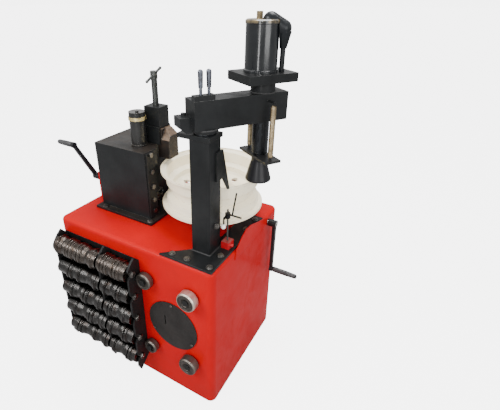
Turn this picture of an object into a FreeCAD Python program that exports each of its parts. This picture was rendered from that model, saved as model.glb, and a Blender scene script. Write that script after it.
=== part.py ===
import FreeCAD, Part
import math
import os
import re
import Sketcher

# Bench machine that presses bent steel wheel rims true.  Millimetres, +Z up.
# Origin: middle of the cabinet's footprint on the floor.  -Y is the side with
# the roller rack, +X the side with the long spindle crank.

os.makedirs("parts", exist_ok=True)
doc = FreeCAD.newDocument("rim_machine")
V = FreeCAD.Vector

SIZES = {
    # cabinet
    "cab_w": 700, "cab_d": 520, "deck_z": 616, "skin": 3, "corner_r": 26, "crown_r": 15,
    "hatch_w": 560, "hatch_z": 430, "hatch_low": 100, "cover_d": 210, "cover_x": 182, "cover_z": 318,
    "lip_top": 47,
    # column and its foot
    "col_x": 260, "col_y": -150, "col_s": 70, "col_wall": 5, "foot_t": 8, "col_top": 1016,
    "cap_t": 14, "pivot_r": 20,
    # swinging arm, in its own frame: length runs along its x
    "arm_deg": 57, "arm_len": 192, "beam_tail": 45, "beam_nose": 70, "beam_w": 68, "beam_low": 1047,
    "beam_top": 1132, "beam_wall": 5,
    # press
    "ram_r": 26, "run_fit": 0.05, "plate_l": 164, "plate_w": 128, "plate_low": 1165, "plate_top": 1190,
    "barrel_r": 47, "barrel_off": 12, "barrel_top": 1330, "bore_r": 32, "head_z": 926, "head_t": 8, "head_w": 160,
    "shoe_low": 843, "shoe_r": 42, "shoe_top_r": 25, "spring_r": 9, "spring_off": 62, "wire_r": 1.6,
    # spindle with the wheel rim
    "spin_x": 153, "spin_y": 68, "spin_r": 25, "seat_z": 705, "stud_r": 12, "rim_low": 677,
    "rim_tall": 145, "rim_r": 192, "gear_r": 80.5, "worm_r": 19, "worm_gap": 100, "worm_z": 585,
    # right-hand crank
    "shaft_r": 10, "right_arm": 220, "right_grip": 100, "grip_r": 11,
    # forming post on the left
    "post_x": -260, "post_y": -105, "post_w": 238, "post_d": 245, "post_top": 891, "post_wall": 6,
    "ram_y": -20, "ram_z": 690, "bar_s": 44, "roll_x": -55, "roll_r": 30, "roll_t": 28,
    "left_arm": 190, "left_grip": 76,
    "block_x": -66, "block_y": 32, "block_w": 68, "block_top": 1028, "tool_w": 56, "tool_top": 950,
    "tool_low": 891.3, "nose_low": 838, "tee_r": 11, "tee_top": 1150, "tee_bar": 118,
    "pot_x": -100, "pot_y": -37, "pot_r": 29,
    # roller rack on the front
    "rib_t": 8, "row_z": 529, "row_step": 101, "roll_y": -303,
    "rib_left": -322, "rib_mid": -95, "rib_right": 45, "peg_r": 11, "slack": 0.3,
}

sheet = doc.addObject("Spreadsheet::Sheet", "dims")
for row, (word, value) in enumerate(SIZES.items(), start=1):
    sheet.set("A%d" % row, word)
    sheet.set("B%d" % row, str(value))
    sheet.setAlias("B%d" % row, word)
doc.recompute()


def link(value):
    """Expression text in which each sheet word points at its cell."""
    return re.sub(r"[a-z]+(?:_[a-z]+)*", lambda m: "dims." + m.group(0) if m.group(0) in SIZES else m.group(0),
                  str(value))


def size(word):
    return float(sheet.get(word))


def bind(obj, **props):
    for prop, value in props.items():
        obj.setExpression(prop, link(value))
    return obj


def at(obj, x=0, y=0, z=0, axis=None, deg=0):
    """Place an object: position bound to the sheet, optional turn about one axis."""
    if axis:
        obj.Placement = FreeCAD.Placement(V(), FreeCAD.Rotation(V(*axis), 1))
        obj.setExpression("Placement.Rotation.Angle", link(deg))
    for letter, value in zip("xyz", (x, y, z)):
        obj.setExpression("Placement.Base." + letter, link(value))
    return obj


def name_it(obj, label):
    obj.Label = label
    return obj


TURN = {"Z": (None, 0), "X": ((0, 1, 0), 90), "Y": ((1, 0, 0), -90), "-X": ((0, 1, 0), -90)}


def box(label, dims, low):
    obj = name_it(doc.addObject("Part::Box", label), label)
    bind(obj, Length=dims[0], Width=dims[1], Height=dims[2])
    return at(obj, *low)


def rod(label, radius, length, start, along="Z"):
    obj = name_it(doc.addObject("Part::Cylinder", label), label)
    bind(obj, Radius=radius, Height=length)
    axis, deg = TURN[along]
    return at(obj, *start, axis=axis, deg=deg)


def taper(label, r_low, r_high, length, start, along="Z"):
    obj = name_it(doc.addObject("Part::Cone", label), label)
    bind(obj, Radius1=r_low, Radius2=r_high, Height=length)
    axis, deg = TURN[along]
    return at(obj, *start, axis=axis, deg=deg)


def ball(label, radius, centre):
    obj = name_it(doc.addObject("Part::Sphere", label), label)
    bind(obj, Radius=radius)
    return at(obj, *centre)


def hexagon(label, radius, length, start, along="Z"):
    obj = name_it(doc.addObject("Part::Prism", label), label)
    obj.Polygon = 6
    bind(obj, Circumradius=radius, Height=length)
    axis, deg = TURN[along]
    return at(obj, *start, axis=axis, deg=deg)


def fuse(label, *parts):
    obj = name_it(doc.addObject("Part::MultiFuse", label), label)
    obj.Shapes = list(parts)
    return obj


def together(label, *parts):
    """Separate solids kept in one piece list, such as a set of equal bolts."""
    obj = name_it(doc.addObject("Part::Compound", label), label)
    obj.Links = list(parts)
    return obj


def cut(label, base, *tools):
    obj = name_it(doc.addObject("Part::Cut", label), label)
    obj.Base = base
    obj.Tool = tools[0] if len(tools) == 1 else together(label + "_tools", *tools)
    return obj


def rounded(label, base, radius, choose):
    """Part fillet of the base's edges that pass the test."""
    doc.recompute()
    obj = name_it(doc.addObject("Part::Fillet", label), label)
    obj.Base = base
    picks = [n for n, edge in enumerate(base.Shape.Edges, start=1) if choose(edge.BoundBox)]
    obj.Edges = [(n, radius, radius) for n in picks]
    return obj


def plane_of(body, role):
    return next(f for f in body.Origin.OriginFeatures if f.Role == role)


def outline(body, plane, points):
    """Closed polygon sketch; every corner is held by two sheet-driven distances."""
    sketch = body.newObject("Sketcher::SketchObject", body.Name + "_outline")
    sketch.AttachmentSupport = [(plane_of(body, plane), "")]
    sketch.MapMode = "FlatFace"
    count = len(points)
    ring = [V(100 + 50 * math.cos(math.tau * n / count), 50 * math.sin(math.tau * n / count), 0)
            for n in range(count)]
    for n in range(count):
        sketch.addGeometry(Part.LineSegment(ring[n], ring[(n + 1) % count]), False)
    for n in range(count):
        sketch.addConstraint(Sketcher.Constraint("Coincident", n, 2, (n + 1) % count, 1))
    for n, corner in enumerate(points):
        for kind, line, value, start in (("DistanceX", -2, corner[0], ring[n].x),
                                         ("DistanceY", -1, corner[1], ring[n].y)):
            if value == 0:
                sketch.addConstraint(Sketcher.Constraint("PointOnObject", n, 1, line))
            else:
                item = sketch.addConstraint(Sketcher.Constraint(kind, -1, 1, n, 1, start))
                sketch.setExpression("Constraints[%d]" % item, link(value))
    return sketch


def disc_sketch(body, plane, name, circles):
    """Circles given as radius, x, y."""
    sketch = body.newObject("Sketcher::SketchObject", name)
    sketch.AttachmentSupport = [(plane_of(body, plane), "")]
    sketch.MapMode = "FlatFace"
    for radius, x, y in circles:
        n = sketch.addGeometry(Part.Circle(V(20, 20, 0), V(0, 0, 1), 5), False)
        item = sketch.addConstraint(Sketcher.Constraint("Radius", n, 5))
        sketch.setExpression("Constraints[%d]" % item, link(radius))
        for kind, line, value in (("DistanceX", -2, x), ("DistanceY", -1, y)):
            if value == 0:
                sketch.addConstraint(Sketcher.Constraint("PointOnObject", n, 3, line))
            else:
                item = sketch.addConstraint(Sketcher.Constraint(kind, -1, 1, n, 3, 20))
                sketch.setExpression("Constraints[%d]" % item, link(value))
    return sketch


def plate(label, plane, points, thick, both_ways=False):
    """Flat piece: polygon padded square to its plane."""
    body = name_it(doc.addObject("PartDesign::Body", label), label)
    pad = body.newObject("PartDesign::Pad", label + "_pad")
    pad.Profile = outline(body, plane, points)
    pad.Midplane = both_ways
    bind(pad, Length=thick)
    return body


def turned(label, points):
    """Lathe-turned piece: polygon of radius, height revolved about its own Z."""
    body = name_it(doc.addObject("PartDesign::Body", label), label)
    sketch = outline(body, "XZ_Plane", points)
    spin = body.newObject("PartDesign::Revolution", label + "_turn")
    spin.Profile = sketch
    spin.ReferenceAxis = (sketch, ["V_Axis"])
    spin.Angle = 360
    return body


def bolt(label, radius, shank, start, along="Z"):
    """Hexagon head on its seat with a shank going down into the hole."""
    x, y, z = start
    if along == "Z":
        return fuse(label, hexagon(label + "_head", "%s * 1.9" % radius, "%s * 1.2" % radius, start),
                    rod(label + "_washer", "%s * 2.3" % radius, 1.5, start),
                    rod(label + "_shank", radius, shank, (x, y, "(%s) - %s" % (z, shank))))
    return fuse(label, hexagon(label + "_head", "%s * 1.9" % radius, "%s * 1.2" % radius, start, along),
                rod(label + "_shank", radius, shank, ("(%s) - %s" % (x, shank), y, z), "X"))


NODES = []


def keep(*pieces):
    NODES.extend(pieces)


def on_arm(*pieces):
    for piece in pieces:
        at(piece, "col_x", "col_y", 0, axis=(0, 0, 1), deg="arm_deg")
    keep(*pieces)


# ---------------------------------------------------------------- cabinet
skin_box = box("cabinet_block", ("cab_w", "cab_d", "deck_z"), ("-cab_w / 2", "-cab_d / 2", 0))
skin_hole = box("cabinet_room", ("cab_w - 2 * skin", "cab_d - 2 * skin", "deck_z - skin + 20"),
                ("-cab_w / 2 + skin", "-cab_d / 2 + skin", -20))


def soft_shell(label, base, corner, crown, top):
    """Rounded upright corners first, then the rounded rim of the top."""
    sides = rounded(label + "_sides", base, corner, lambda b: b.ZLength > 300)
    return rounded(label + "_crown", sides, crown, lambda b: b.ZLength < 1e-6 and b.ZMin > top - 1)


outer = soft_shell("outer", skin_box, size("corner_r"), size("crown_r"), size("deck_z"))
inner = soft_shell("inner", skin_hole, size("corner_r") - size("skin"), size("crown_r") - size("skin"),
                   size("deck_z") - size("skin"))
hatch = box("hatch", ("hatch_w", 40, "hatch_z"), ("-hatch_w / 2", "cab_d / 2 - 20", "hatch_low"))
PEGS = ((82, 495, 32, 26), (266, 493, 36, 32), (85, 175, 28, 26), (260, 181, 36, 32))
deck_holes = [
    rod("hand_hole", "cover_d / 2 - 14", 60, ("cover_x", "-cab_d / 2 - 30", "cover_z"), "Y"),
    rod("spindle_hole", 56, 60, ("spin_x", "spin_y", "deck_z - 30")),
    rod("shaft_hole", "shaft_r + 2", 40, ("cab_w / 2 - 20", "spin_y + worm_gap", "worm_z"), "X"),
    rod("gland_hole", 9, 40, (-250, "cab_d / 2 - 20", 60), "Y"),
]
PANEL_SCREWS = [(x, z) for z in (95, 315, 535) for x in (-290, 0, 290) if (x, z) != (0, 315)]
COVER_SCREWS = [(182 + 97 * math.cos(a), 318 + 97 * math.sin(a))
                for a in (math.radians(90), math.radians(210), math.radians(330))]
FOOT_BOLTS = ((180, -236), (240, -236), (325, -236), (325, -165), (325, 20), (325, 100))
POST_BOLTS = ((-238, -119), (-238, 154), (-9, -119), (-100, 154))
for n, (bx, by) in enumerate(FOOT_BOLTS + POST_BOLTS):
    deck_holes.append(rod("bolt_hole_%d" % n, 5.3, 40, (bx, by, "deck_z - 20")))
for n, (sx, sz) in enumerate(PANEL_SCREWS):
    deck_holes.append(rod("back_hole_%d" % n, 2.6, 40, (sx, "cab_d / 2 - 20", sz), "Y"))
for n, (sx, sz) in enumerate(COVER_SCREWS):
    deck_holes.append(rod("front_hole_%d" % n, 2.6, 40, (sx, "-cab_d / 2 - 20", sz), "Y"))
deck_holes.append(box("heel_gap", (642, 40, 12), (-321, "cab_d / 2 - 20", -5.7)))
pegs = [fuse("peg_%d" % n, rod("peg_rod_%d" % n, "peg_r", 36, (px, "-cab_d / 2 - 36", pz), "Y"),
             rod("peg_foot_%d" % n, 17, 4, (px, "-cab_d / 2 - 4", pz), "Y"))
        for n, (px, pz, pr, pt) in enumerate(PEGS)]
side_lip = plate("side_lip", "YZ_Plane",
                 ((-112, "deck_z - 34"), (-105, "deck_z + 4"), (-62, "deck_z + 34"), (-30, "deck_z + lip_top"),
                  (0, "deck_z + lip_top - 2"), (70, "deck_z + 22"), (140, "deck_z + 4"), (150, "deck_z - 34")), 3)
at(side_lip, "cab_w / 2", 0, 0)
keep(cut("cabinet_shell", outer, inner, hatch, *deck_holes), side_lip, together("roller_pegs", *pegs))

FRAME_W = "cab_w - 2 * skin - 2"
FRAME_D = "cab_d - 2 * skin - 2"
ring = cut("foot_ring", box("ring_out", (FRAME_W, FRAME_D, 40), ("-(%s) / 2" % FRAME_W, "-(%s) / 2" % FRAME_D, 0)),
           box("ring_in", (FRAME_W + " - 80", FRAME_D + " - 80", 60),
               ("-(%s) / 2 + 40" % FRAME_W, "-(%s) / 2 + 40" % FRAME_D, 6)))
ring_soft = rounded("foot_ring_soft", ring, 24, lambda b: b.ZLength > 30 and abs(b.XMin) > 340)
posts = [box("post_%d" % n, (30, 30, "deck_z - skin - 40"), (px, py, 39.9))
         for n, (px, py) in enumerate(((-334, -240), (304, -240), (-334, 210), (304, 210)))]
beams = [box("tie_%d" % n, (610, 30, 30), (-305, py, "deck_z - skin - 30")) for n, py in enumerate((-240, 210))]
trays = [box("tray_%d" % n, (60, 450, 6), (px, -225, 34)) for n, px in enumerate((-270, -70))]
heel = box("heel", (640, 34, 6), (-320, "cab_d / 2 - 5", 0))
base_frame = fuse("base_frame", ring_soft, heel, *posts, *beams, *trays)
keep(base_frame)

panel = box("panel_sheet", ("hatch_w + 40", 2, "hatch_z + 40"),
            ("-hatch_w / 2 - 20", "cab_d / 2", "hatch_low - 20"))
vents = [box("vent_%d_%d" % (row, side), (150, 20, 9), (side * 190 - 75, "cab_d / 2 - 9", 360 + 24 * row))
         for row in range(6) for side in (-1, 1)]
panel_holes = [rod("panel_hole_%d" % n, 2.6, 20, (x, "cab_d / 2 - 10", z), "Y")
               for n, (x, z) in enumerate(PANEL_SCREWS)]
back_panel = cut("back_panel", panel, *vents, *panel_holes)
keep(back_panel)

cover_disc = rod("cover_disc", "cover_d / 2", 4, ("cover_x", "-cab_d / 2 - 4", "cover_z"), "Y")
cover_slot = box("cover_slot", (5, 20, 46), ("cover_x - 34", "-cab_d / 2 - 10", "cover_z - 8"))
cover_holes = [rod("cover_hole_%d" % n, 2.6, 20, (x, "-cab_d / 2 - 10", z), "Y")
               for n, (x, z) in enumerate(COVER_SCREWS)]
keep(cut("round_cover", cover_disc, cover_slot, *cover_holes))


def screw(label, x, z, face, sign):
    """Pan-head screw on a front (-1) or back (+1) sheet."""
    head = rod(label + "_head", 5, 2.6, (x, face if sign > 0 else "(%s) - 2.6" % face, z), "Y")
    stem = rod(label + "_stem", 2.5, 9.9, (x, "(%s) - 9.8" % face if sign > 0 else "(%s) - 0.1" % face, z), "Y")
    return fuse(label, head, stem)


panel_set = [screw("panel_screw_%d" % n, x, z, "cab_d / 2 + 2", 1) for n, (x, z) in enumerate(PANEL_SCREWS)]
cover_set = [screw("cover_screw_%d" % n, x, z, "-cab_d / 2 - 4", -1) for n, (x, z) in enumerate(COVER_SCREWS)]

gland = turned("power_gland", ((0, 0), (13, 0), (13, 5), (10, 7), (10, 16), (7, 19), (5.5, 19), (5.5, 3), (0, 3)))
at(gland, -250, "cab_d / 2", 60, axis=(1, 0, 0), deg=-90)
keep(gland)

# ---------------------------------------------------------------- column and its foot plate
foot_raw = plate("foot_raw", "XY_Plane",
                 ((141, -256), (344, -256), (344, 126), (272, 126), (272, -62), (222, -182)), "foot_t")
at(foot_raw, 0, 0, "deck_z")
foot_holes = [rod("foot_hole_%d" % n, 5.3, 40, (bx, by, "deck_z - 10")) for n, (bx, by) in enumerate(FOOT_BOLTS)]
keep(cut("column_foot", foot_raw, *foot_holes))

column_tube = cut("column_tube",
                  box("column_out", ("col_s", "col_s", "col_top - deck_z - foot_t"),
                      ("col_x - col_s / 2", "col_y - col_s / 2", "deck_z + foot_t")),
                  box("column_in", ("col_s - 2 * col_wall", "col_s - 2 * col_wall", "col_top - deck_z"),
                      ("col_x - col_s / 2 + col_wall", "col_y - col_s / 2 + col_wall", "deck_z + foot_t")),
                  rod("cross_hole", 6, 200, ("col_x - 100", -150, 722), "X"))
column_soft = rounded("column_soft", column_tube, 4, lambda b: b.ZLength > 300 and
                      (abs(abs(b.XMin - size("col_x")) - size("col_s") / 2) < 0.01))
cap_plate = box("cap_plate", ("col_s + 42", "col_s + 6", "cap_t"),
                ("col_x - col_s / 2 - 38", "col_y - col_s / 2 - 3", "col_top"))
keep(fuse("column", column_soft, cap_plate))
keep(turned("pivot_post", ((0, 0), ("pivot_r + 14", 0), ("pivot_r + 14", 6), ("pivot_r", 6),
                           ("pivot_r", "beam_top - col_top - cap_t - 13"),
                           ("pivot_r - 4", "beam_top - col_top - cap_t - 9"),
                           (0, "beam_top - col_top - cap_t - 9"))))
at(NODES[-1], "col_x", "col_y", "col_top + cap_t")

steady = plate("rim_steady", "YZ_Plane", ((-150, 975), (-112, 975), (-68, 824), (-76, 824), (-112, 880), (-150, 880)), 6)
at(steady, "col_x + col_s / 2", 0, 0)
keep(steady)
cross_set = (fuse("cross_pin", rod("cross_rod", 5.9, "col_s + 24", ("col_x - col_s / 2 - 12", -150, 722), "X"),
                  hexagon("cross_head", 11, 8, ("col_x - col_s / 2 - 8", -150, 722), "X")),
             cut("cross_nut", hexagon("nut_raw", 10, 8, ("col_x + col_s / 2", -150, 722), "X"),
                 rod("nut_bore", 5.9, 20, ("col_x + col_s / 2 - 5", -150, 722), "X")))

# ---------------------------------------------------------------- runout pointer
gauge_stand = fuse("gauge_stand", box("gauge_magnet", (30, 34, 26), (303, -125, "deck_z + foot_t")),
                   rod("gauge_post", 3, 120, (318, -108, "deck_z + foot_t + 25.9")),
                   rod("gauge_knob", 5, 9, (333, -112, "deck_z + foot_t + 14"), "X"))
keep(gauge_stand)
hub = cut("gauge_hub", fuse("gauge_hub_raw", rod("gauge_clamp", 9, 18, (318, -108, 738)),
                            rod("gauge_cross", 3, 40, (324, -101, 747), "X")),
          rod("gauge_bore", "3 + run_fit", 60, (318, -108, 720)))
needle = rod("needle", 2.6, 88, (331, -102, 746))
needle.Placement = FreeCAD.Placement(V(331, -102, 746), FreeCAD.Rotation(V(0, 1, 0), 9))
lever_stem = rod("lever_stem", 2.4, 32, (311, -122, 710))
knob_ball = ball("knob_ball", 8.5, (311, -124, 710))
lever_arm = box("lever_arm", (6, 13, 6), (310, -125, 739))
keep(fuse("gauge_arm", hub, needle, lever_stem, knob_ball, lever_arm))

# ---------------------------------------------------------------- spindle housing, spindle, rim
housing_raw = turned("housing_raw", ((0, -11), (105, -11), (105, -3), (55, -3), (55, 0), (88, 0), (88, 12), (60, 18),
                                     (52, 60), (52, 73), (0, 73)))
at(housing_raw, "spin_x", "spin_y", "deck_z")
lugs = [box("lug_%d" % n, (12, 44, 40.2), (px, "spin_y + worm_gap - 22", 565)) for n, px in enumerate((88, 212))]
lug_tie = box("lug_tie", (136, 60, 8), (88, "spin_y + worm_gap - 38", 605))
keep(cut("spindle_housing", fuse("housing_all", housing_raw, lug_tie, *lugs),
         rod("housing_bore", "spin_r + run_fit", 200, ("spin_x", "spin_y", 560)),
         rod("worm_bore", "shaft_r + run_fit", 300, (60, "spin_y + worm_gap", "worm_z"), "X")))
keep(turned("spindle", ((0, -143), ("spin_r - 3", -143), ("spin_r", -140), ("spin_r", -15.5), (75, -15.5), (75, 0),
                        (28.5, 0), (28.5, 6), ("stud_r", 6), ("stud_r", 82), ("stud_r - 3", 86), (0, 86))))
at(NODES[-1], "spin_x", "spin_y", "seat_z")

wheel_gear = doc.addObject("PartDesign::Body", "worm_wheel")
wheel_gear.Label = "worm_wheel"
gear_pad = wheel_gear.newObject("PartDesign::Pad", "gear_pad")
gear_pad.Profile = disc_sketch(wheel_gear, "XY_Plane", "gear_face", (("gear_r", 0, 0), ("spin_r", 0, 0)))
bind(gear_pad, Length=22)
doc.recompute()
solid_gear = wheel_gear.Shape.Volume
tooth_gap = wheel_gear.newObject("PartDesign::Pocket", "tooth_gap")
tooth_gap.Profile = disc_sketch(wheel_gear, "XY_Plane", "gap_face", ((3.4, "gear_r + 0.6", 0),))
tooth_gap.Type = "ThroughAll"
tooth_gap.Midplane = True
doc.recompute()
teeth = wheel_gear.newObject("PartDesign::PolarPattern", "teeth")
teeth.Originals = [tooth_gap]
teeth.Axis = (next(f for f in wheel_gear.Origin.OriginFeatures if f.Role == "Z_Axis"), [""])
teeth.Angle = 360
teeth.Occurrences = 40
wheel_gear.Tip = teeth
at(wheel_gear, "spin_x", "spin_y", "worm_z - 11")
keep(wheel_gear)

RIM_SECTION = (("rim_r", 0), ("rim_r - 3.5", 0), ("rim_r - 5", 4.5), ("rim_r - 14", 7.5), ("rim_r - 21", 12),
               ("rim_r - 22", 31), ("rim_r - 24", 36), ("rim_r - 44", 48), ("rim_r - 44", 82), ("rim_r - 23", 94),
               ("rim_r - 22", 112), ("rim_r - 21", "rim_tall - 12"), ("rim_r - 14", "rim_tall - 7.5"),
               ("rim_r - 5", "rim_tall - 4.5"), ("rim_r - 3.5", "rim_tall"), ("rim_r", "rim_tall"),
               ("rim_r", "rim_tall - 9"), ("rim_r - 12", "rim_tall - 12"), ("rim_r - 17", "rim_tall - 14"),
               ("rim_r - 18", 112), ("rim_r - 19", 91), ("rim_r - 40", 79), ("rim_r - 40", 51), ("rim_r - 20", 39),
               ("rim_r - 18", 33), ("rim_r - 17", 14), ("rim_r - 12", 12), ("rim_r", 9))
rim_ring = turned("rim_ring", RIM_SECTION)
rim_disc = turned("rim_disc", ((29, 28), (82, 28), (96, 40), (118, 44), (140, 40), (147, 48), ("rim_r - 43.9", 56),
                               ("rim_r - 43.9", 64), (142, 56), (118, 49), (94, 45), (80, 32.5), (29, 32.5)))
stud_holes = [rod("stud_hole_%d" % n, 7, 60, (50 * math.cos(math.tau * n / 4), 50 * math.sin(math.tau * n / 4), 0))
              for n in range(4)]
air_holes = [rod("air_hole_%d" % n, 12, 80,
                 (118 * math.cos(math.tau * n / 10), 118 * math.sin(math.tau * n / 10), 0)) for n in range(10)]
valve_hole = rod("valve_hole", 6, 60, ("rim_r - 60", 0, 72), "X")
wheel_rim = cut("wheel_rim", fuse("rim_all", rim_ring, rim_disc), *stud_holes, *air_holes, valve_hole)
at(wheel_rim, "spin_x", "spin_y", "rim_low")
keep(wheel_rim)
keep(turned("centring_cone", (("stud_r + 0.3", 34.2), (27, 34.2), (41, 37), (41, 42), (30, 58), ("stud_r + 0.3", 58))))
at(NODES[-1], "spin_x", "spin_y", "rim_low")
nut = cut("clamp_nut", fuse("nut_all", hexagon("nut_hex", 24, 20, ("spin_x", "spin_y", "rim_low + 58")),
                            rod("nut_collar", 26, 6, ("spin_x", "spin_y", "rim_low + 58"))),
          rod("nut_thread", "stud_r", 60, ("spin_x", "spin_y", "rim_low + 40")))
keep(nut)

worm_y = "spin_y + worm_gap"
worm = fuse("worm_shaft", rod("worm_rod", "shaft_r", 313, (74, worm_y, "worm_z"), "X"),
            rod("worm_core", "worm_r - 6", 90, ("spin_x - 45", worm_y, "worm_z"), "X"),
            *[rod("worm_turn_%d" % n, "worm_r", 4, ("spin_x - 42 + %d" % (12 * n), worm_y, "worm_z"), "X")
              for n in range(8)])
keep(worm)


def crank(label, x, y, z, reach, grip, side, lean):
    """Crank arm and its loose grip; side +1 points the grip along +X, -1 along -X."""
    start = x if side > 0 else "(%s) - 12" % x
    bar = plate(label + "_bar", "YZ_Plane", (("-9", 0), (9, 0), (7, "(%s)" % reach), (-7, "(%s)" % reach)), 12)
    at(bar, start, y, z, axis=(1, 0, 0), deg=lean)
    deg = math.radians(lean)
    tip = ("(%s) - (%s) * %.6f" % (y, reach, math.sin(deg)), "(%s) + (%s) * %.6f" % (z, reach, math.cos(deg)))
    boss_x = "(%s) - 18" % x if side > 0 else "(%s) - 14" % x
    hub_boss = rod(label + "_boss", 14.5, 32, (boss_x, y, z), "X")
    end_boss = rod(label + "_end", 12, 12, (start, tip[0], tip[1]), "X")
    out = "X" if side > 0 else "-X"
    root = "(%s) + 11.9" % x if side > 0 else "(%s) - 11.9" % x
    free = "(%s) + 12.4" % x if side > 0 else "(%s) - 12.4" % x
    pin = rod(label + "_pin", 5, "(%s) + 6" % grip, (root, tip[0], tip[1]), out)
    head_x = "(%s) + (%s) + 13" % (x, grip) if side > 0 else "(%s) - (%s) - 13" % (x, grip)
    pin_head = rod(label + "_pin_head", 7.5, 4, (head_x, tip[0], tip[1]), out)
    arm = cut(label, fuse(label + "_all", bar, hub_boss, end_boss, pin, pin_head),
              rod(label + "_bore", "shaft_r", 60, ("(%s) - 30" % x, y, z), "X"))
    handle = turned(label + "_handle", (("5 + run_fit", 0), (8, 0), ("grip_r", 6), ("grip_r", "(%s) * 0.6" % grip),
                                        ("grip_r - 1.5", grip), ("5 + run_fit", grip)))
    at(handle, free, tip[0], tip[1], axis=(0, 1, 0), deg=90 * side)
    handle.Label = label.replace("arm", "grip")
    return arm, handle


keep(*crank("right_crank_arm", 373, worm_y, "worm_z", "right_arm", "right_grip", 1, 180))

# ---------------------------------------------------------------- power pack inside the cabinet
tank = fuse("tank_all", box("tank_box", (240, 220, 170), (-300, -60, 40)),
            rod("filler_neck", 18, 24, (-270, 120, 209)), rod("filler_cap", 24, 12, (-270, 120, 232)))
keep(name_it(tank, "oil_tank"))
motor = fuse("pump_motor", rod("motor_can", 62, 150, (-280, 20, 285), "X"), rod("motor_bell", 52, 20, (-300, 20, 285), "X"),
             rod("pump_body", 38, 70, (-131, 20, 285), "X"), box("motor_feet", (120, 110, 22), (-265, -35, 210)),
             box("motor_box", (60, 40, 30), (-235, 0, 342)),
             *[rod("motor_fin_%d" % n, 66, 3, (-268 + 14 * n, 20, 285), "X") for n in range(10)])
keep(motor)

# ---------------------------------------------------------------- forming post
POST_PLAN = ((-265, -105), (-22, -105), (-22, -35), (-75, 25), (-75, 140), (-265, 140))
INNER_PLAN = ((-259, -99), (-28, -99), (-28, -37.3), (-81, 22.7), (-81, 134), (-259, 134))
post_wall = plate("post_wall", "XY_Plane", POST_PLAN, "post_top - deck_z - 10")
at(post_wall, 0, 0, "deck_z + 10")
post_room = plate("post_room", "XY_Plane", INNER_PLAN, "post_top - deck_z - 18")
at(post_room, 0, 0, "deck_z + 10")
post_foot = cut("post_foot", box("post_foot_raw", (284, 300, 10), (-278, -132, "deck_z")),
                *[rod("post_bolt_hole_%d" % n, 5.3, 40, (bx, by, "deck_z - 10")) for n, (bx, by) in enumerate(POST_BOLTS)])
guide = cut("ram_guide", fuse("guide_all", box("guide_block", (64, 64, 64), (-190, "ram_y - 32", "ram_z - 32")),
                              box("guide_web", (64, 30, 34), (-190, "ram_y - 15", "deck_z + 9.9"))),
            box("guide_slot", (90, "bar_s + 2 * slack", "bar_s + 2 * slack"),
                (-200, "ram_y - bar_s / 2 - slack", "ram_z - bar_s / 2 - slack")))
window = box("ram_window", (110, 68, 76), (-106, "ram_y - 36", "ram_z - 38"))
post_hole = rod("post_hole", "shaft_r + 2", 40, (-280, "ram_y", "ram_z"), "X")
GIB_BOLTS = ((-80, 880), (-80, 815), (-80, 755), (-80, 700), (-80, 655))
gib_holes = [rod("gib_hole_%d" % n, 5.3, 60, (-60, gy, gz), "X") for n, (gy, gz) in enumerate(GIB_BOLTS)]
walls = cut("post_walls", post_wall, post_room, window, post_hole, *gib_holes)
keep(fuse("forming_post", walls, post_foot, guide))
strip = box("strip_raw", (7, 44, "post_top - deck_z - 14"), (-22, -102, "deck_z + 11"))
strip_holes = [rod("strip_hole_%d" % n, 5.3, 60, (-60, gy, gz), "X") for n, (gy, gz) in enumerate(GIB_BOLTS)]
keep(cut("gib_strip", strip, *strip_holes))

bolts = [bolt("foot_bolt_%d" % n, 5, 10.8, (bx, by, "deck_z + foot_t")) for n, (bx, by) in enumerate(FOOT_BOLTS)]
bolts += [bolt("post_bolt_%d" % n, 5, 12.8, (bx, by, "deck_z + 10")) for n, (bx, by) in enumerate(POST_BOLTS)]
bolts += [bolt("gib_bolt_%d" % n, 5, 18, (-15, gy, gz), "X") for n, (gy, gz) in enumerate(GIB_BOLTS)]
keep(together("fasteners", *bolts, *cross_set, *panel_set, *cover_set))

bracket = cut("crank_bracket",
              fuse("bracket_all", box("bracket_wall", (10, 62, 114), (-334, -51, "deck_z")),
                   box("bracket_shelf", (52, 62, 8), (-334, -51, "deck_z")),
                   rod("bracket_boss", 20, 40, (-334, "ram_y", "ram_z"), "X")),
              rod("bracket_bore", "shaft_r + run_fit", 100, (-360, "ram_y", "ram_z"), "X"))
keep(bracket)
keep(fuse("lead_screw", rod("screw_rod", "shaft_r", 238, (-388, "ram_y", "ram_z"), "X"),
          rod("screw_collar_out", 15, 7, (-341.5, "ram_y", "ram_z"), "X"),
          rod("screw_collar_in", 15, 7, (-293.5, "ram_y", "ram_z"), "X")))
keep(*crank("left_crank_arm", -376, "ram_y", "ram_z", "left_arm", "left_grip", -1, 28))

half = "bar_s / 2"
ram_bar = box("ram_bar", (110, "bar_s", "bar_s"), (-205, "ram_y - " + half, "ram_z - " + half))
fork = [box("fork_%d" % n, (64, "bar_s", 7), (-100, "ram_y - " + half, pz))
        for n, pz in enumerate(("ram_z + roll_t / 2 + 0.5", "ram_z - roll_t / 2 - 7.5"))]
fork_pin = rod("fork_pin", 8, "roll_t + 21", ("roll_x", "ram_y", "ram_z - roll_t / 2 - 10"))
keep(cut("forming_ram", fuse("ram_all", ram_bar, *fork, fork_pin),
         rod("ram_thread", "shaft_r + run_fit", 92, (-206, "ram_y", "ram_z"), "X")))
keep(turned("forming_roller", (("8 + run_fit", 0), ("roll_r - 3", 0), ("roll_r", 4), ("roll_r - 2", "roll_t / 2"),
                               ("roll_r", "roll_t - 4"), ("roll_r - 3", "roll_t"), ("8 + run_fit", "roll_t"))))
at(NODES[-1], "roll_x", "ram_y", "ram_z - roll_t / 2")

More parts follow.
